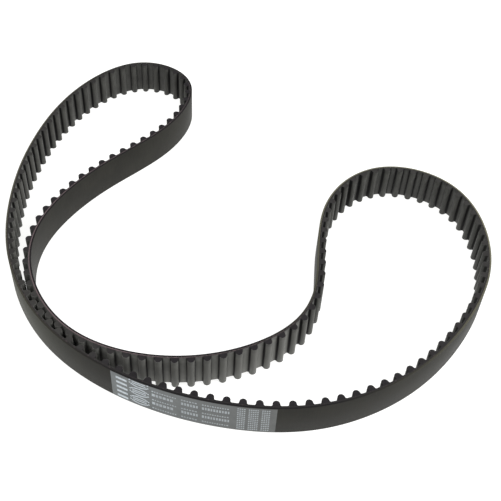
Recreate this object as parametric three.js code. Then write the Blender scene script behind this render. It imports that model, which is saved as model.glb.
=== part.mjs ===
// Timing belt: one endless toothed band, standing on its cut edge and resting in a bent, kidney-shaped loop.
// The band is laid up from a rubber back, a layer of wound cord, rubber teeth and a woven facing over the teeth.
// It is divided into five lengths that flex against each other at four upright hinge lines on the pitch line.

import * as THREE from "three";

// Band, in millimetres. Offsets are measured from the pitch line, positive towards the teeth.
const TEETH = 149;
const PITCH = 9.525;
const BELT_WIDTH = 25.4;
const BACK_OFFSET = -1.45;
const CORD_HALF = 0.35;
const LAND_OFFSET = 0.75;

// Tooth: a round crown standing on flanks that flare out to the lands.
const CROWN_RADIUS = 2.25;
const CROWN_CENTRE_HEIGHT = 1.25;
const CROWN_SIDES = 4;
const ROOT_HALF_WIDTH = 3.05;

// Woven facing over teeth and lands.
const FACING_THICKNESS = 0.25;
const FACING_ROOT_SHIFT = 0.14;
const FACING_EDGE_INSET = 0.1;
const CORD_EDGE_INSET = 0.1;

// Open slot between two neighbouring lengths at each hinge line.
const HINGE_SLOT = 0.8;

// Label on the back. Places along the band are counted in lands from its start, in steps of half a land.
const LABEL_START = 42;
const LABEL_END = 52.5;
const LABEL_THICKNESS = 0.15;
const LABEL_EDGE_INSET = 0.6;
const PRINT_THICKNESS = 0.1;
const PRINT_EDGE_INSET = 2.2;

// Printed fields on the label: name, start and end.
const PRINT_FIELDS = [
  ["label_print_bars", 42.5, 43],
  ["label_print_mark", 43.5, 44.5],
  ["label_print_lines", 45, 49.5],
  ["label_print_grid", 50, 52],
];

// Control points of the pitch line in plan. The line is a closed uniform cubic B-spline, run anticlockwise
// from the end of the left lobe, and scaled so that its length is exactly TEETH pitches.
const PLAN_POINTS = [
  [-38, 140], [-94, 168], [-142, 116], [-159, 53], [-162, 4],
  [-154, -57], [-118, -113], [-58, -146], [3, -158], [58, -154],
  [111, -124], [147, -77], [166, -28], [153, 39], [90, 59],
  [46, 8], [55, -72], [26, -110], [-33, -132], [-102, -120],
  [-140, -68], [-140, -15], [-103, 40], [-56, 79],
];
const PLAN_STEPS = 6000;

// Distance from the start of the pitch line to the first land, in pitches.
const FIRST_LAND = 0.22;

// Points per pitch along the back face, the label and the print.
const BACK_STATIONS = 2;

// Lengths of the band, each from one land to another.
const LENGTHS = [
  { name: "left_lobe", from: 0, to: 36 },
  { name: "outer_span", from: 36, to: 55 },
  { name: "right_lobe", from: 55, to: 104 },
  { name: "inner_span", from: 104, to: 126 },
  { name: "left_return", from: 126, to: 149 },
];

// Materials.
function backRubber() {
  return new THREE.MeshStandardMaterial({ color: 0x2e2e2b, roughness: 0.6, metalness: 0 });
}

function toothRubber() {
  return new THREE.MeshStandardMaterial({ color: 0x262527, roughness: 0.75, metalness: 0 });
}

function glassCord() {
  return new THREE.MeshStandardMaterial({ color: 0x7d6f68, roughness: 0.8, metalness: 0 });
}

function facingFabric() {
  return new THREE.MeshStandardMaterial({ color: 0x4a4a47, roughness: 0.85, metalness: 0 });
}

function labelFilm() {
  return new THREE.MeshStandardMaterial({ color: 0x7c8180, roughness: 0.5, metalness: 0 });
}

function labelInk() {
  return new THREE.MeshStandardMaterial({ color: 0xc6cacb, roughness: 0.5, metalness: 0 });
}

// Point and derivative of the closed uniform cubic B-spline at parameter u.
function splineAt(u) {
  const count = PLAN_POINTS.length;
  const first = Math.floor(u);
  const t = u - first;
  const weights = [(1 - t) ** 3, 3 * t ** 3 - 6 * t ** 2 + 4, -3 * t ** 3 + 3 * t ** 2 + 3 * t + 1, t ** 3];
  const slopes = [-3 * (1 - t) ** 2, 9 * t ** 2 - 12 * t, -9 * t ** 2 + 6 * t + 3, 3 * t ** 2];
  const result = { x: 0, y: 0, dx: 0, dy: 0 };
  for (let k = 0; k < 4; k += 1) {
    const [px, py] = PLAN_POINTS[(first + k - 1 + count) % count];
    result.x += (weights[k] * px) / 6;
    result.y += (weights[k] * py) / 6;
    result.dx += (slopes[k] * px) / 6;
    result.dy += (slopes[k] * py) / 6;
  }
  return result;
}

// Running length of the spline at evenly spaced parameters.
function measurePlan() {
  const lengths = [0];
  let last = splineAt(0);
  for (let step = 1; step <= PLAN_STEPS; step += 1) {
    const next = splineAt((step / PLAN_STEPS) * PLAN_POINTS.length);
    lengths.push(lengths[step - 1] + Math.hypot(next.x - last.x, next.y - last.y));
    last = next;
  }
  return lengths;
}

const PLAN_LENGTHS = measurePlan();
const PLAN_SCALE = (TEETH * PITCH) / PLAN_LENGTHS[PLAN_STEPS];

// Spline parameter at a distance along the scaled pitch line.
function parameterAt(distance) {
  const target = distance / PLAN_SCALE;
  let low = 0;
  let high = PLAN_STEPS;
  while (high - low > 1) {
    const middle = Math.floor((low + high) / 2);
    if (PLAN_LENGTHS[middle] <= target) {
      low = middle;
    } else {
      high = middle;
    }
  }
  const part = (target - PLAN_LENGTHS[low]) / (PLAN_LENGTHS[high] - PLAN_LENGTHS[low]);
  return ((low + part) / PLAN_STEPS) * PLAN_POINTS.length;
}

// Plan position of a point given by its land count along the band and its offset towards the teeth.
function bandPoint(lands, offset) {
  const distance = ((lands + FIRST_LAND) % TEETH) * PITCH;
  const here = splineAt(parameterAt(distance));
  const speed = Math.hypot(here.dx, here.dy);
  const x = here.x * PLAN_SCALE - (here.dy / speed) * offset;
  const y = here.y * PLAN_SCALE + (here.dx / speed) * offset;
  return new THREE.Vector2(x, y);
}

// A line along the band from one land count to another at a steady offset, with whole stations in between.
function steadyLine(from, to, offset, stationsPerPitch) {
  const points = [bandPoint(from, offset)];
  const firstStation = Math.floor(from * stationsPerPitch) + 1;
  const lastStation = Math.ceil(to * stationsPerPitch) - 1;
  for (let station = firstStation; station <= lastStation; station += 1) {
    points.push(bandPoint(station / stationsPerPitch, offset));
  }
  points.push(bandPoint(to, offset));
  return points;
}

// A line beneath the teeth between two lands, with a point under each side of every tooth.
function rootLine(from, to, offset, rootHalfWidth) {
  const points = [bandPoint(from, offset)];
  for (let tooth = Math.round(from); tooth < Math.round(to); tooth += 1) {
    const centre = tooth + 0.5;
    points.push(bandPoint(centre - rootHalfWidth / PITCH, offset));
    points.push(bandPoint(centre + rootHalfWidth / PITCH, offset));
  }
  points.push(bandPoint(to, offset));
  return points;
}

// A line over the teeth between two lands. Each tooth stands midway between its two lands.
function toothLine(from, to, landOffset, rootHalfWidth, crownRadius) {
  const points = [bandPoint(from, landOffset)];
  for (let tooth = Math.round(from); tooth < Math.round(to); tooth += 1) {
    const centre = tooth + 0.5;
    points.push(bandPoint(centre - rootHalfWidth / PITCH, landOffset));
    for (let side = 0; side <= CROWN_SIDES; side += 1) {
      const angle = Math.PI * (1 - side / CROWN_SIDES);
      const along = (crownRadius * Math.cos(angle)) / PITCH;
      const height = LAND_OFFSET + CROWN_CENTRE_HEIGHT + crownRadius * Math.sin(angle);
      points.push(bandPoint(centre + along, height));
    }
    points.push(bandPoint(centre + rootHalfWidth / PITCH, landOffset));
  }
  points.push(bandPoint(to, landOffset));
  return points;
}

// A closed upright solid between an outer and an inner line of plan points.
function uprightSolid(name, material, outerLine, innerLine, edgeInset) {
  const shape = new THREE.Shape([...outerLine, ...innerLine.slice().reverse()]);
  const geometry = new THREE.ExtrudeGeometry(shape, {
    depth: BELT_WIDTH - 2 * edgeInset,
    bevelEnabled: false,
  });
  const mesh = new THREE.Mesh(geometry, material);
  mesh.name = name;
  mesh.position.z = edgeInset;
  return mesh;
}

// One length of the band, as its four layers.
function bandLength({ name, from, to }) {
  const slotHalf = HINGE_SLOT / 2 / PITCH;
  const start = from + slotHalf;
  const end = to - slotHalf;
  const outerFace = steadyLine(start, end, BACK_OFFSET, BACK_STATIONS);
  const rubberRoot = ROOT_HALF_WIDTH - FACING_ROOT_SHIFT;
  const rubberLand = LAND_OFFSET - FACING_THICKNESS;
  const rubberCrown = CROWN_RADIUS - FACING_THICKNESS;
  const cordOuter = rootLine(start, end, -CORD_HALF, rubberRoot);
  const cordInner = rootLine(start, end, CORD_HALF, rubberRoot);
  const rubberFace = toothLine(start, end, rubberLand, rubberRoot, rubberCrown);
  const facingFace = toothLine(start, end, LAND_OFFSET, ROOT_HALF_WIDTH, CROWN_RADIUS);
  return [
    uprightSolid(`${name}_backing`, backRubber(), outerFace, cordOuter, 0),
    uprightSolid(`${name}_cord`, glassCord(), cordOuter, cordInner, CORD_EDGE_INSET),
    uprightSolid(`${name}_teeth`, toothRubber(), cordInner, rubberFace, 0),
    uprightSolid(`${name}_facing`, facingFabric(), rubberFace, facingFace, FACING_EDGE_INSET),
  ];
}

// The label film and its printed fields, on the back of the outer span.
function label() {
  const filmOffset = BACK_OFFSET - LABEL_THICKNESS;
  const underside = steadyLine(LABEL_START, LABEL_END, BACK_OFFSET, BACK_STATIONS);
  const filmFace = steadyLine(LABEL_START, LABEL_END, filmOffset, BACK_STATIONS);
  const pieces = [uprightSolid("label_film", labelFilm(), filmFace, underside, LABEL_EDGE_INSET)];
  for (const [name, start, end] of PRINT_FIELDS) {
    const below = steadyLine(start, end, filmOffset, BACK_STATIONS);
    const above = steadyLine(start, end, filmOffset - PRINT_THICKNESS, BACK_STATIONS);
    pieces.push(uprightSolid(name, labelInk(), above, below, PRINT_EDGE_INSET));
  }
  return pieces;
}

function timingBelt() {
  const belt = new THREE.Group();
  for (const length of LENGTHS) {
    belt.add(...bandLength(length));
  }
  belt.add(...label());
  const box = new THREE.Box3().setFromObject(belt);
  belt.position.set(-(box.min.x + box.max.x) / 2, -(box.min.y + box.max.y) / 2, 0);
  return belt;
}

export default timingBelt();
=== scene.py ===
"""Timing belt: an endless toothed band standing on its cut edge in a bent loop, on a plain pale floor."""

import itertools
import math

import bpy
import numpy as np
from mathutils import Matrix


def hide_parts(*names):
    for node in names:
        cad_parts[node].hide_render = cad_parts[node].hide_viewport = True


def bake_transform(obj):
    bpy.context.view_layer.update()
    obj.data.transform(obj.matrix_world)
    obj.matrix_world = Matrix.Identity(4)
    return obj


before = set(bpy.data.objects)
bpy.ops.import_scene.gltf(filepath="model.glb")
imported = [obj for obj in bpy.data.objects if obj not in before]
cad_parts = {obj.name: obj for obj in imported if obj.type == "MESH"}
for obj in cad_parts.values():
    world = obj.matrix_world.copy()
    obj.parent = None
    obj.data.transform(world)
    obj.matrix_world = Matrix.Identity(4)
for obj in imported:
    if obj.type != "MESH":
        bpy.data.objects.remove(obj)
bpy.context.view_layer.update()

# ---------------------------------------------------------------- sizes, in millimetres

MM = 0.001
TEETH = 149
PITCH = 9.525
WIDTH = 25.4

# Offsets from the pitch line, positive towards the teeth.
BACK = -1.45
CORD_OUTER = -0.35
CORD_INNER = 0.35
LAND = 0.75

# One tooth: the crown's arc and its centre above the land, the root fillet, and how far each flank leans.
CROWN_RADIUS = 2.25
CROWN_CENTRE = 1.25
ROOT_FILLET = 0.8
DRAFT = 0.05
CROWN_POINTS = 8
FILLET_POINTS = 5

# How the back's corners are eased, and how far the cord and the facing stop short of the cut edges.
EASED = 0.3
EASED_MIDDLE = 0.09
CORD_SHORT = 0.02
FACING = 0.25
FACING_SHORT = 0.04
FACING_EASED = 0.16
FACING_EASED_DEPTH = 0.07

# Control points of the pitch line in plan: a closed uniform cubic B-spline, run anticlockwise from the left
# lobe's tip.
PLAN = np.array([
    (-38, 140), (-94, 168), (-142, 116), (-159, 53), (-162, 4), (-154, -57), (-118, -113), (-58, -146),
    (3, -158), (58, -154), (111, -124), (147, -77), (166, -28), (153, 39), (90, 59), (46, 8),
    (55, -72), (26, -110), (-33, -132), (-102, -120), (-140, -68), (-140, -15), (-103, 40), (-56, 79),
], float)

# The middle of the plan's box, which goes to the origin.
PLAN_CENTRE = np.array([0.179, -0.264])

# How far past the curve's start the first land is, in pitches.
FIRST_LAND = 0.22

# Stretches of the band: first and last land, the two bodies it joins, and the lands between which it bends.
STRETCHES = {
    "left": (0, 46, "left_lobe", "outer_span", 30, 42),
    "bottom": (46, 80, "outer_span", "right_lobe", 49, 61),
    "right": (80, 115, "right_lobe", "inner_span", 98, 110),
    "inner": (115, 149, "inner_span", "left_return", 120, 132),
}

# The bodies whose CAD pieces each stretch stands for.
STANDS_FOR = {
    "left": ["left_lobe"],
    "bottom": ["outer_span"],
    "right": ["right_lobe"],
    "inner": ["inner_span", "left_return"],
}

# The label: its first and last place in lands, its margin to the cut edges, its film and its ink.
LABEL = (42.08, 52.56)
LABEL_EDGE = 0.35
FILM = 0.08
INK = 0.03

# Rings of points in each pitch of the back and of the label, and the angle from which an edge stays sharp.
BACK_STATIONS = 5
LABEL_STATIONS = 4
SHARP_ANGLE = 38


# ---------------------------------------------------------------- the band in plan

def spline(u):
    """Points and directions of the closed B-spline at parameters u."""
    first = np.floor(u).astype(int)
    t = u - first
    weights = [(1 - t) ** 3, 3 * t**3 - 6 * t**2 + 4, -3 * t**3 + 3 * t**2 + 3 * t + 1, t**3]
    weights = np.stack(weights, -1) / 6
    slopes = np.stack([-((1 - t) ** 2), 3 * t**2 - 4 * t, -3 * t**2 + 2 * t + 1, t**2], -1) / 2
    near = PLAN[(first[..., None] + np.arange(-1, 3)) % len(PLAN)]
    return (weights[..., None] * near).sum(-2), (slopes[..., None] * near).sum(-2)


PLAN_STEPS = np.linspace(0, len(PLAN), 500 * len(PLAN) + 1)
PLAN_LINE, _ = spline(PLAN_STEPS)
PLAN_LENGTHS = np.concatenate([[0], np.cumsum(np.hypot(*np.diff(PLAN_LINE, axis=0).T))])
PLAN_SCALE = TEETH * PITCH / PLAN_LENGTHS[-1]


def on_band(lands, offset, height):
    """Points in metres, from places in lands, offsets towards the teeth and heights in millimetres."""
    lands, offset, height = np.broadcast_arrays(*(np.asarray(x, float) for x in (lands, offset, height)))
    distance = ((lands + FIRST_LAND) % TEETH) * PITCH / PLAN_SCALE
    place, direction = spline(np.interp(distance, PLAN_LENGTHS, PLAN_STEPS))
    direction = direction / np.linalg.norm(direction, axis=-1, keepdims=True)
    across = np.stack([-direction[..., 1], direction[..., 0]], -1)
    plan = place * PLAN_SCALE + across * offset[..., None] - PLAN_CENTRE
    return np.concatenate([plan, height[..., None]], -1) * MM


# ---------------------------------------------------------------- meshes

def put(name, data):
    """A new object in the scene."""
    thing = bpy.data.objects.new(name, data)
    bpy.context.scene.collection.objects.link(thing)
    return thing


def make_piece(name, points, faces, uv, finish):
    """A mesh object from points, faces and a band coordinate for each point."""
    mesh = bpy.data.meshes.new(name)
    mesh.from_pydata([tuple(p) for p in points.reshape(-1, 3)], [], faces)
    layer = mesh.uv_layers.new(name="band")
    corners = np.empty(len(mesh.loops), np.int32)
    mesh.loops.foreach_get("vertex_index", corners)
    layer.data.foreach_set("uv", uv.reshape(-1, 2)[corners].astype(np.float32).ravel())
    mesh.materials.append(finish)
    mesh.shade_smooth()
    mesh.set_sharp_from_angle(angle=math.radians(SHARP_ANGLE))
    mesh.update()
    return put(name, mesh)


def sleeve_faces(stations, around):
    """Faces of a closed sleeve of rings, with both ends capped."""
    faces = []
    for station in range(stations - 1):
        here, there = station * around, (station + 1) * around
        for corner in range(around):
            after = (corner + 1) % around
            faces.append((here + corner, here + after, there + after, there + corner))
    last = (stations - 1) * around
    faces.append(tuple(reversed(range(around))))
    faces.append(tuple(range(last, last + around)))
    return faces


def sleeve(name, lands, offsets, heights, run, finish):
    """A closed piece swept along the band: a ring of offsets and heights at each station along the run."""
    points = on_band(lands, offsets, heights)
    stations, around = points.shape[:2]
    uv = np.stack([np.broadcast_to(run[:, None] * MM, (stations, around)), points[..., 2]], -1)
    return make_piece(name, points, sleeve_faces(stations, around), uv, finish)


def steady_piece(name, start, end, ring, finish):
    """A sleeve of one steady cross-section, given as (offset, height) corners."""
    lands = np.linspace(start, end, (end - start) * BACK_STATIONS + 1)
    offsets, heights = np.array(ring, float).T
    return sleeve(name, lands[:, None], offsets, heights, lands * PITCH, finish)


def tooth_outline(inset):
    """One tooth from land to land, at an inset below its surface, as (distance from its middle, offset)."""
    crown = CROWN_RADIUS - inset
    fillet = ROOT_FILLET + inset
    centre = CROWN_RADIUS + DRAFT + ROOT_FILLET
    side = [(-PITCH / 2, LAND - inset), (-(centre + PITCH / 2) / 2, LAND - inset)]
    for angle in np.linspace(0, math.pi / 2, FILLET_POINTS):
        side.append((-centre + fillet * math.sin(angle), LAND + ROOT_FILLET - fillet * math.cos(angle)))
    for angle in np.linspace(0, math.pi / 2, CROWN_POINTS):
        side.append((-crown * math.cos(angle), LAND + CROWN_CENTRE + crown * math.sin(angle)))
    return side + [(-x, y) for x, y in reversed(side[:-1])]


# Length of the facing over one tooth.
FACING_RUN = float(np.hypot(*np.diff(np.array(tooth_outline(0)), axis=0).T).sum())


def toothed_line(start, end, inset):
    """The tooth side of the band between two lands: places in lands, and offsets."""
    outline = np.array(tooth_outline(inset))
    lands, offsets = [], []
    for tooth in range(start, end):
        part = outline[:-1] if tooth < end - 1 else outline
        lands.append(tooth + 0.5 + part[:, 0] / PITCH)
        offsets.append(part[:, 1])
    return np.concatenate(lands), np.concatenate(offsets)


def back_piece(name, start, end, finish):
    """The rubber back, with its outer corners eased."""
    lower = [(BACK, EASED), (BACK + EASED_MIDDLE, EASED_MIDDLE), (BACK + EASED, 0), (CORD_OUTER, 0)]
    upper = [(offset, WIDTH - height) for offset, height in reversed(lower)]
    return steady_piece(name, start, end, lower + upper, finish)


def cord_piece(name, start, end, finish):
    """The layer of wound cord, seen as a line along both cut edges."""
    low, high = CORD_SHORT, WIDTH - CORD_SHORT
    ring = [(CORD_OUTER, low), (CORD_INNER, low), (CORD_INNER, high), (CORD_OUTER, high)]
    return steady_piece(name, start, end, ring, finish)


def tooth_piece(name, start, end, finish):
    """The moulded tooth rubber, from the cord to just under the facing."""
    lands, offsets = toothed_line(start, end, FACING)
    under = np.full_like(offsets, CORD_INNER)
    ring = np.stack([under, offsets, offsets, under], 1)
    return sleeve(name, lands[:, None], ring, [0, 0, WIDTH, WIDTH], lands * PITCH, finish)


def facing_piece(name, start, end, finish):
    """The woven facing over teeth and lands, with its outer corners eased."""
    inner_lands, inner = toothed_line(start, end, FACING)
    eased_lands, eased = toothed_line(start, end, FACING_EASED_DEPTH)
    outer_lands, outer = toothed_line(start, end, 0)
    lands = np.stack([inner_lands, eased_lands, outer_lands, outer_lands, eased_lands, inner_lands], 1)
    offsets = np.stack([inner, eased, outer, outer, eased, inner], 1)
    lower = [FACING_SHORT, FACING_SHORT, FACING_EASED]
    upper = [WIDTH - height for height in reversed(lower)]
    steps = np.hypot(np.diff(outer_lands) * PITCH, np.diff(outer))
    run = start * FACING_RUN + np.concatenate([[0], np.cumsum(steps)])
    return sleeve(name, lands, offsets, lower + upper, run, finish)


def plates(name, rectangles, low, high, finish):
    """Thin plates that follow the back: each is (first land, last land, lower height, upper height)."""
    points, faces, uv = [], [], []
    for start, end, bottom, top in rectangles:
        stations = math.ceil((end - start) * LABEL_STATIONS) + 1
        lands = np.linspace(start, end, stations)[:, None]
        ring = on_band(lands, [high, low, low, high], [bottom, bottom, top, top])
        before = sum(len(part) for part in points)
        faces += [tuple(before + corner for corner in face) for face in sleeve_faces(stations, 4)]
        points.append(ring.reshape(-1, 3))
        run = np.broadcast_to(lands * PITCH * MM, (stations, 4))
        uv.append(np.stack([run, ring[..., 2]], -1).reshape(-1, 2))
    return make_piece(name, np.concatenate(points), faces, np.concatenate(uv), finish)


# ---------------------------------------------------------------- finishes

# Places along the band: where painted highlights and a painted reflection go on the back, where the tooth
# tops are paler and where the cord is bare; the middle and the reach, in metres along the pitch line.
LEFT_LOBE = (0.19, 0.24)
RIGHT_LOBE = (0.78, 0.26)
PAINTED_REFLECTION_BACK = (0.285, 0.11)
BARE_CORD = (1.195, 0.30)
MESHED_EDGES = [(0.34, 0.08), (1.15, 0.09)]

# The same on the facing, in metres along its rise and fall over the teeth: where painted light lifts the
# shade, and where the painted shade in the tooth roots is wider or weaker.
MESHED_FACING = [(0.47, 0.13), (1.70, 0.16)]
NEAR_TEETH = (1.51, 0.15)
FAR_TEETH = (0.36, 0.16)
WEAKER_ROOT_SHADE = (0.97, 0.18)
SHADY_ROOTS = (1.18, 0.12)

# Places on one tooth, as shares of its facing: 0 is the middle of a land and 0.5 the top of a crown.
LAND_SPOT = (0.0, 0.2)
# ROOT_SPOT and WIDE_ROOT_SPOT place the painted shade in the tooth roots.
ROOT_SPOT = (0.212, 0.105)
WIDE_ROOT_SPOT = (0.212, 0.17)

# Thread spacings of the facing's weave, in metres.
WARP = 0.00052
WEFT = 0.00060
TWILL = 0.0011

# Heights, in millimetres: the sawn face and the painted highlight on the eased corner, from the band's
# middle, and the painted shade under the facing's top edge.
SAWN_FROM = 12.56
HIGHLIT_CORNER = (12.5, 0.16)
TOP_SHADE_FROM = 22.0
TOP_SHADE_OVER = 3.4

# Where the film starts to turn darker, and where the thick ink ends, in metres along the pitch line.
FILM_DARKER_FROM = 0.403
THICK_INK_TO = 0.431


class Wire:
    """A shader socket that works in Python sums."""

    def __init__(self, tree, socket):
        self.tree = tree
        self.socket = socket

    def maths(self, operation, *terms):
        node = self.tree.nodes.new("ShaderNodeMath")
        node.operation = operation
        for slot, term in zip(node.inputs, terms):
            plug(self.tree, slot, term)
        return Wire(self.tree, node.outputs[0])

    def __add__(self, other):
        return self.maths("ADD", self, other)

    def __radd__(self, other):
        return self.maths("ADD", other, self)

    def __sub__(self, other):
        return self.maths("SUBTRACT", self, other)

    def __rsub__(self, other):
        return self.maths("SUBTRACT", other, self)

    def __mul__(self, other):
        return self.maths("MULTIPLY", self, other)

    def __rmul__(self, other):
        return self.maths("MULTIPLY", other, self)

    def __truediv__(self, other):
        return self.maths("DIVIDE", self, other)

    def __abs__(self):
        return self.maths("ABSOLUTE", self)

    def clipped(self):
        """Kept from 0 to 1."""
        return self.maths("MINIMUM", self.maths("MAXIMUM", self, 0.0), 1.0)

    def there_and_back(self, half):
        """Up to a half and back to 0, over and over."""
        return self.maths("PINGPONG", self, half)

    def bump_at(self, middle, reach):
        """1 at a value, falling smoothly to 0 a reach away from it."""
        near = (1.0 - abs(self - middle) / reach).clipped()
        return near * near * (3.0 - 2.0 * near)

    def bumps_at(self, spots):
        """The sum of bumps at (middle, reach) spots."""
        return sum(self.bump_at(*spot) for spot in spots)

    def wave(self, length):
        """From 0 to 1 and back over each length."""
        return self.maths("SINE", self * (2 * math.pi / length)) * 0.5 + 0.5


def plug(tree, slot, value):
    """Links a wire to a socket, or sets a plain value on it."""
    if isinstance(value, Wire):
        tree.links.new(value.socket, slot)
    else:
        slot.default_value = value


def rgb(red, green, blue):
    return (red, green, blue, 1.0)


def shade_of(*noises):
    """A share from 0 to 1 around a half, from pairs of a noise and its strength."""
    return (sum((noise - 0.5) * strength for noise, strength in noises) + 0.5).clipped()


class Graph:
    """A node tree and the one node that its result goes into."""

    def __init__(self, tree, result):
        self.tree = tree
        self.result = tree.nodes[result]

    def node(self, kind, settings=None, output=0, **values):
        """A node of any kind: its settings first, then its sockets, by name or by _ and a number."""
        node = self.tree.nodes.new("ShaderNode" + kind)
        for key, value in (settings or {}).items():
            setattr(node, key, value)
        for key, value in values.items():
            slot = int(key[1:]) if key[0] == "_" else key.replace("_", " ")
            plug(self.tree, node.inputs[slot], value)
        return Wire(self.tree, node.outputs[output])

    def feed(self, socket, value):
        plug(self.tree, self.result.inputs[socket], value)


class Finish(Graph):
    """A material and the shader it ends in."""

    def __init__(self, name, roughness, specular, sheen=0.0, sheen_roughness=0.5):
        self.material = bpy.data.materials.new(name)
        self.material.use_nodes = True
        super().__init__(self.material.node_tree, "Principled BSDF")
        self.feed("Roughness", roughness)
        self.feed("Specular IOR Level", specular)
        self.feed("Sheen Weight", sheen)
        self.feed("Sheen Roughness", sheen_roughness)

    def place(self):
        return self.node("TexCoord", output="Object")

    def along(self):
        """Distance along the band, in metres."""
        return self.node("SeparateXYZ", output="X", Vector=self.node("UVMap", {"uv_map": "band"}))

    def up(self):
        """Height on the band, in metres."""
        return self.node("SeparateXYZ", output="Y", Vector=self.node("UVMap", {"uv_map": "band"}))

    def noise(self, vector, size, detail=3.0, roughness=0.55):
        """Noise with features of a size in metres."""
        return self.node("TexNoise", Vector=vector, Scale=1.0 / size, Detail=detail, Roughness=roughness)

    def streaks(self, size, squeeze, roughness=0.55, detail=3.0):
        """Noise in streaks across the band: the more its height is squeezed, the longer they are."""
        place = self.node("CombineXYZ", X=self.along(), Y=self.up() * squeeze)
        return self.noise(place, size, detail, roughness)

    def patches_along(self, size, detail, roughness):
        """Noise that changes only along the band."""
        return self.noise(self.node("CombineXYZ", X=self.along()), size, detail, roughness)

    def mixed(self, share, first, second):
        return self.node("Mix", {"data_type": "RGBA"}, output=2, _0=share, _6=first, _7=second)

    def bumped(self, height, distance, strength):
        self.feed("Normal", self.node("Bump", Height=height, Distance=distance, Strength=strength))


def back_finish():
    """Ground black rubber with a fine grain and faint streaks across, and sawn edges; a painted highlight
    on the eased corners and the sawn edges over the lobes, and a painted reflection where the back is seen
    at a grazing angle on the left.
    """
    finish = Finish("ground_back_rubber", roughness=0.55, specular=0.15)
    along = finish.along()
    cloudy = finish.noise(finish.place(), size=0.02, detail=4.0)
    grain = finish.noise(finish.place(), size=0.0006, detail=2.0, roughness=0.7)
    streaks = finish.streaks(size=0.0009, squeeze=0.08, roughness=0.65)
    shade = shade_of((cloudy, 1.2), (streaks, 0.6), (grain, 0.5))
    fresh = finish.mixed(shade, rgb(0.0085, 0.0082, 0.0065), rgb(0.025, 0.024, 0.019))
    # Painted reflection: where the back is seen at a grazing angle on the left, a paler tone is mixed in.
    paler = finish.mixed(shade, rgb(0.040, 0.042, 0.030), rgb(0.078, 0.081, 0.059))
    ground = finish.mixed(along.bump_at(*PAINTED_REFLECTION_BACK) * 0.8, fresh, paler)
    from_middle = abs(finish.up() / MM - WIDTH / 2)
    sawn = ((from_middle - SAWN_FROM) * 12.0).clipped()
    # Painted highlight: on the lobes the eased corner and the sawn face are given a pale olive, as if lit.
    lobes = along.bump_at(*LEFT_LOBE) * 0.5 + along.bump_at(*RIGHT_LOBE)
    corner = from_middle.bump_at(*HIGHLIT_CORNER) * lobes
    with_painted_light = finish.mixed(corner * 0.9, ground, rgb(0.17, 0.168, 0.11))
    edge = finish.mixed(lobes, rgb(0.010, 0.009, 0.010), rgb(0.165, 0.160, 0.112))
    finish.feed("Base Color", finish.mixed(sawn, with_painted_light, edge))
    finish.feed("Roughness", 0.42 + grain * 0.14 + cloudy * 0.14 + sawn * 0.2)
    finish.bumped(grain * 0.6 + streaks * 0.4, distance=0.00008, strength=0.8)
    return finish.material


def cord_finish():
    """Cut glass cord along the edge: pale threads that come and go in dark rubber."""
    finish = Finish("cut_cord", roughness=0.75, specular=0.2)
    shown = finish.patches_along(size=0.2, detail=1.0, roughness=0.5)
    ends = finish.patches_along(size=0.0022, detail=2.0, roughness=0.6)
    strands = finish.noise(finish.place(), size=0.0003, detail=2.0, roughness=0.7)
    bare = finish.along().bump_at(*BARE_CORD)
    cover = ((ends - 0.5) * 2.5 + (shown - 0.6) + bare * 1.2).clipped() * (0.5 + strands * 0.6).clipped()
    finish.feed("Base Color", finish.mixed(cover, rgb(0.022, 0.02, 0.02), rgb(0.15, 0.11, 0.115)))
    finish.bumped(strands, distance=0.00008, strength=0.8)
    return finish.material


def tooth_finish():
    """Moulded tooth rubber, sawn at the edges, paler on the lobes and where the teeth mesh."""
    finish = Finish("sawn_tooth_rubber", roughness=0.7, specular=0.15)
    grain = finish.noise(finish.place(), size=0.00045, roughness=0.7)
    cloudy = finish.noise(finish.place(), size=0.006)
    shade = shade_of((grain, 0.9), (cloudy, 0.9))
    lobes = finish.along().bumps_at([LEFT_LOBE, RIGHT_LOBE])
    meshed = finish.along().bumps_at(MESHED_EDGES)
    fresh = finish.mixed(shade, rgb(0.007, 0.006, 0.007), rgb(0.026, 0.023, 0.026))
    paler = finish.mixed(shade, rgb(0.022, 0.021, 0.020), rgb(0.055, 0.053, 0.050))
    finish.feed("Base Color", finish.mixed((lobes * 0.9 + meshed).clipped(), fresh, paler))
    finish.feed("Roughness", 0.6 + grain * 0.2)
    finish.bumped(grain, distance=0.00006, strength=0.7)
    return finish.material


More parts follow.
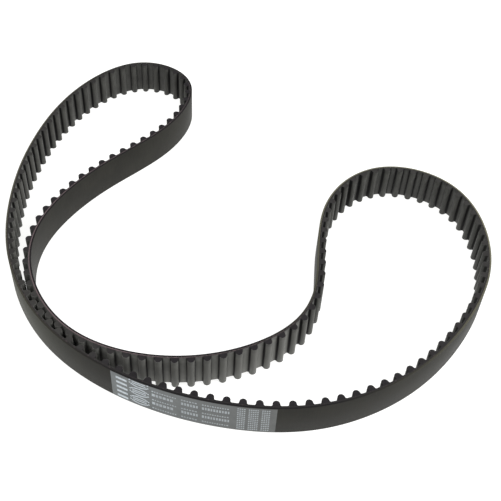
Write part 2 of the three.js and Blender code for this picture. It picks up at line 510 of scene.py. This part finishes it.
def facing_finish():
    """Treated nylon weave over the teeth. Painted light makes the lands paler than the crowns and some
    stretches paler still; painted shade darkens the tooth roots and a strip under the top edge.
    """
    finish = Finish("woven_tooth_facing", roughness=0.6, specular=0.16, sheen=0.08, sheen_roughness=0.4)
    along, up = finish.along(), finish.up()
    weave = along.wave(WARP) * 0.4 + up.wave(WEFT) * 0.3 + (along + up).wave(TWILL) * 0.3
    streaks = finish.streaks(size=0.0008, squeeze=0.12, roughness=0.6)
    cloudy = finish.noise(finish.place(), size=0.012)
    shade = shade_of((streaks, 1.2), (cloudy, 0.8), (weave, 0.7))

    from_land = (along / (FACING_RUN * MM)).there_and_back(0.5)
    land = from_land.bump_at(*LAND_SPOT)
    # Painted shade in the tooth roots, over a wider band on one stretch.
    wide = from_land.bump_at(*WIDE_ROOT_SPOT) * along.bump_at(*SHADY_ROOTS)
    root_shade = (from_land.bump_at(*ROOT_SPOT) * 1.6 + wide * 1.2).clipped()
    meshed = along.bumps_at(MESHED_FACING)
    # Painted light on some stretches lifts the shade of the recesses between the strands, and a painted
    # sheen brightens the far teeth seen at a grazing angle.
    near = (along.bump_at(*NEAR_TEETH) * 1.8).clipped()
    light_lift = near + along.bump_at(*FAR_TEETH) * 0.75 + meshed * 0.6

    crowns = finish.mixed(shade, rgb(0.033, 0.033, 0.030), rgb(0.082, 0.082, 0.075))
    lands = finish.mixed(shade, rgb(0.045, 0.045, 0.042), rgb(0.102, 0.102, 0.095))
    # The lands are painted paler than the crowns to lift the shade between the teeth.
    lifted_lands = finish.mixed(land, crowns, lands)
    # The paler tone that the painted light mixes in.
    lift_colour = finish.mixed(land, rgb(0.20, 0.20, 0.185), rgb(0.37, 0.37, 0.345))
    with_painted_light = finish.mixed(light_lift * 0.52, lifted_lands, lift_colour)
    # The painted shade in the tooth roots is weaker on one stretch and where the teeth mesh.
    root_shade_kept = 1.0 - along.bump_at(*WEAKER_ROOT_SHADE) * 0.3 - meshed * 0.8
    # Painted shade darkens a strip under the top edge, more on the lands.
    top_shade = ((up / MM - TOP_SHADE_FROM) / TOP_SHADE_OVER).clipped() * (0.25 + land * 0.35)
    # Both painted shades are mixed in as near black.
    dark = 1.0 - (1.0 - root_shade * root_shade_kept) * (1.0 - top_shade)
    finish.feed("Base Color", finish.mixed(dark, with_painted_light, rgb(0.006, 0.006, 0.006)))
    finish.feed("Roughness", 0.5 + weave * 0.12 + cloudy * 0.1 + root_shade * 0.15)
    finish.bumped(weave * 0.7 + streaks * 0.3, distance=0.00009, strength=0.8)
    return finish.material


def film_finish():
    """Grey transfer film on the back, a little darker and browner further along it."""
    finish = Finish("label_film", roughness=0.45, specular=0.3)
    mottle = finish.noise(finish.place(), size=0.006, detail=4.0)
    grain = finish.noise(finish.place(), size=0.0006, detail=2.0, roughness=0.7)
    shade = shade_of((mottle, 1.2), (grain, 0.8))
    darker_share = ((finish.along() - FILM_DARKER_FROM) * 10.0).clipped()
    grey = finish.mixed(shade, rgb(0.098, 0.108, 0.110), rgb(0.162, 0.176, 0.180))
    dull = finish.mixed(shade, rgb(0.072, 0.076, 0.074), rgb(0.118, 0.123, 0.120))
    finish.feed("Base Color", finish.mixed(darker_share, grey, dull))
    finish.feed("Roughness", 0.4 + grain * 0.15)
    finish.bumped(grain, distance=0.00004, strength=0.5)
    return finish.material


def ink_finish():
    """Pale print with slight wear: thick at the left end, thinner over the rows and the dashes."""
    finish = Finish("label_ink", roughness=0.5, specular=0.3)
    wear = finish.noise(finish.place(), size=0.0012, detail=4.0, roughness=0.7)
    cover = ((wear - 0.3) * 4.0).clipped()
    thick = ((THICK_INK_TO - finish.along()) * 200.0).clipped()
    thin_print = finish.mixed(cover, rgb(0.22, 0.24, 0.25), rgb(0.34, 0.37, 0.39))
    thick_print = finish.mixed(cover, rgb(0.34, 0.375, 0.40), rgb(0.53, 0.58, 0.62))
    finish.feed("Base Color", finish.mixed(thick, thin_print, thick_print))
    finish.feed("Roughness", 0.45 + wear * 0.15)
    return finish.material


# ---------------------------------------------------------------- the belt

def bend(piece):
    """Bakes a piece's transform into its mesh."""
    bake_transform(piece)


def build_band():
    layers = [
        ("backing", back_piece, back_finish(), "back_rubber"),
        ("cord", cord_piece, cord_finish(), "glass_cord"),
        ("teeth", tooth_piece, tooth_finish(), "tooth_rubber"),
        ("facing", facing_piece, facing_finish(), "facing_fabric"),
    ]
    for stretch, (start, end, *_) in STRETCHES.items():
        for layer, make, finish, slot in layers:
            piece = make(f"{layer}_{stretch}", start, end, finish)
            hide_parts(*[f"{body}_{layer}" for body in STANDS_FOR[stretch]])
            bend(piece)


# ---------------------------------------------------------------- the label

# Its layout: shares of its length along the band, and millimetres up it.
BARS = (0.035, 0.108)
BAR_BOTTOMS = (1.9, 6.5, 11.1, 15.7, 20.3)
BAR_HEIGHT = 2.0

OVAL_MIDDLE = 0.186
OVAL_HALF_LENGTH = 0.063
OVAL_HALF_HEIGHT = 3.3
OVAL_HEIGHTS = (6.0, 14.6, 23.2)
OVAL_BLOCKS = 12
OVAL_HALF_BLOCK = 0.08
OVAL_HALF_LINE = 0.5
OVAL_BARS = (0.142, 0.230)
OVAL_BAR_FROM = 0.45
OVAL_BAR_TO = 1.25

# Columns of printed rows: first and last share, block lengths in tall rows and block lengths in low rows.
ROW_COLUMNS = [
    (0.268, 0.42, (0.019, 0.014, 0.017), (0.011, 0.008)),
    (0.448, 0.548, (0.013, 0.01), (0.009, 0.012)),
    (0.572, 0.732, (0.012, 0.009), (0.01, 0.007)),
]
ROWS = 5
ROW_BOTTOM = 3.0
ROW_STEP = 4.35
TALL_ROW = 2.5
LOW_ROW = 1.1
BLOCK_GAP = 0.006
ROUNDING = 1e-6

# Groups of dashes: first and last share, and how many stand side by side.
DASH_GROUPS = [(0.775, 0.825, 4), (0.84, 0.9, 5), (0.915, 0.965, 4)]
DASH_ROWS = 11
DASH_BOTTOM = 1.9
DASH_STEP = 2.05
DASH_HEIGHT = 1.15
DASH_SHARE = 0.68


def mark(start, end, low, high):
    """A printed rectangle, from shares of the label's length to places in lands."""
    length = LABEL[1] - LABEL[0]
    return (LABEL[0] + start * length, LABEL[0] + end * length, low, high)


def bar_marks():
    """Short bars, one above the other."""
    return [mark(*BARS, low, low + BAR_HEIGHT) for low in BAR_BOTTOMS]


def oval_marks():
    """Plain outlined ovals with two bars inside, one above the other. The film's edge cuts the top one."""
    marks = []
    for middle in OVAL_HEIGHTS:
        for block in range(OVAL_BLOCKS):
            across = (block + 0.5) * 2 / OVAL_BLOCKS - 1
            rise = OVAL_HALF_HEIGHT * math.sqrt(1 - across**2)
            start = OVAL_MIDDLE + OVAL_HALF_LENGTH * (across - OVAL_HALF_BLOCK)
            end = OVAL_MIDDLE + OVAL_HALF_LENGTH * (across + OVAL_HALF_BLOCK)
            for height in (middle - rise, middle + rise):
                marks.append(mark(start, end, height - OVAL_HALF_LINE, height + OVAL_HALF_LINE))
        marks.append(mark(*OVAL_BARS, middle - OVAL_BAR_TO, middle - OVAL_BAR_FROM))
        marks.append(mark(*OVAL_BARS, middle + OVAL_BAR_FROM, middle + OVAL_BAR_TO))
    return [made for made in marks if made[3] < WIDTH - LABEL_EDGE]


def row_of_blocks(start, end, lengths, low, high):
    """A printed row of blocks, whose lengths come in turn, as far as they fit."""
    blocks = []
    for length in itertools.cycle(lengths):
        if start + length > end + ROUNDING:
            return blocks
        blocks.append(mark(start, start + length, low, high))
        start += length + BLOCK_GAP


def line_marks():
    """Rows of plain blocks in three columns, tall and low rows in turn."""
    marks = []
    for row in range(ROWS):
        tall = row % 2 == 1
        low = ROW_BOTTOM + ROW_STEP * row
        high = low + (TALL_ROW if tall else LOW_ROW)
        for start, end, tall_lengths, low_lengths in ROW_COLUMNS:
            marks += row_of_blocks(start, end, tall_lengths if tall else low_lengths, low, high)
    return marks


def grid_marks():
    """A field of small dashes in three groups of columns."""
    marks = []
    for row in range(DASH_ROWS):
        low = DASH_BOTTOM + DASH_STEP * row
        for start, end, count in DASH_GROUPS:
            step = (end - start) / count
            for column in range(count):
                left = start + column * step
                marks.append(mark(left, left + DASH_SHARE * step, low, low + DASH_HEIGHT))
    return marks


def build_label():
    """The film on the back and the print on the film."""
    whole = [(*LABEL, LABEL_EDGE, WIDTH - LABEL_EDGE)]
    film = plates("label_film_sheet", whole, BACK, BACK - FILM, film_finish())
    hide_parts("label_film")
    bend(film)
    ink = ink_finish()
    prints = {"bars": bar_marks(), "mark": oval_marks(), "lines": line_marks(), "grid": grid_marks()}
    for name, marks in prints.items():
        piece = plates(f"printed_{name}", marks, BACK - FILM, BACK - FILM - INK, ink)
        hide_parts(f"label_print_{name}")
        bend(piece)


# ---------------------------------------------------------------- floor, light and camera

FLOOR_HALF = 40.0
FLOOR_GLOW = 0.88

# The sky's light, from low over the horizon to high up, and the heights it changes between.
SKY_LIGHT = (1.0, 0.6)
SKY_HEIGHTS = (0.1, 0.3)

# Lamps: name, place, side in metres and power in watts. Both face the middle of the belt.
LAMPS = [("key", (-0.9, -0.5, 1.4), 0.9, 7.0), ("fill", (1.2, -0.1, 0.9), 1.0, 18.0)]

CAMERA_PLACE = (0.0028, -0.4350, 0.4677)
CAMERA_TURN = -4.323
CAMERA_TILT = 47.735
CAMERA_ROLL = 0.253
SENSOR = 36.0
LENS = 65.47545
SHIFT = (0.0998004, -0.0149701)


def frame_of(right, top, behind, place):
    """The matrix of a lamp or camera that looks away from what is behind it."""
    turned = Matrix(np.stack([right, top, behind], 1).tolist()).to_4x4()
    turned.translation = place
    return turned


def build_floor():
    """A wide, pale, faintly glowing floor."""
    half = FLOOR_HALF
    corners = [(-half, -half, 0), (half, -half, 0), (half, half, 0), (-half, half, 0)]
    mesh = bpy.data.meshes.new("floor")
    mesh.from_pydata(corners, [], [(0, 1, 2, 3)])
    finish = Finish("pale_floor", roughness=0.9, specular=0.0)
    finish.feed("Base Color", rgb(0.35, 0.35, 0.345))
    finish.feed("Emission Color", rgb(1.0, 1.0, 0.99))
    finish.feed("Emission Strength", FLOOR_GLOW)
    mesh.materials.append(finish.material)
    put("floor", mesh)


def build_sky():
    """White light from all round, stronger from low down."""
    world = bpy.data.worlds.new("studio")
    world.use_nodes = True
    sky = Graph(world.node_tree, "Background")
    height = sky.node("SeparateXYZ", output="Z", Vector=sky.node("TexCoord", output="Generated"))
    light = sky.node(
        "MapRange", Value=height,
        From_Min=SKY_HEIGHTS[0], From_Max=SKY_HEIGHTS[1], To_Min=SKY_LIGHT[0], To_Max=SKY_LIGHT[1],
    )
    sky.feed("Color", rgb(1.0, 1.0, 1.0))
    sky.feed("Strength", light)
    bpy.context.scene.world = world


def build_lamps():
    for name, place, size, power in LAMPS:
        data = bpy.data.lights.new(name, "AREA")
        data.size = size
        data.energy = power
        behind = np.array(place) / np.linalg.norm(place)
        right = np.cross([0, 0, 1], behind)
        right /= np.linalg.norm(right)
        put(name, data).matrix_world = frame_of(right, np.cross(behind, right), behind, place)


def build_camera():
    turn, tilt, roll = (math.radians(angle) for angle in (CAMERA_TURN, CAMERA_TILT, CAMERA_ROLL))
    ahead = np.array([math.sin(turn) * math.cos(tilt), math.cos(turn) * math.cos(tilt), -math.sin(tilt)])
    level = np.array([math.cos(turn), -math.sin(turn), 0.0])
    upward = np.cross(level, ahead)
    right = math.cos(roll) * level + math.sin(roll) * upward
    top = math.cos(roll) * upward - math.sin(roll) * level
    data = bpy.data.cameras.new("camera")
    data.sensor_width = SENSOR
    data.lens = LENS
    data.shift_x, data.shift_y = SHIFT
    data.clip_start = 0.01
    data.clip_end = 50.0
    camera = put("camera", data)
    camera.matrix_world = frame_of(right, top, -ahead, CAMERA_PLACE)
    bpy.context.scene.camera = camera


build_band()
build_label()
build_floor()
build_sky()
build_lamps()
build_camera()
bpy.context.scene.view_settings.view_transform = "Standard"
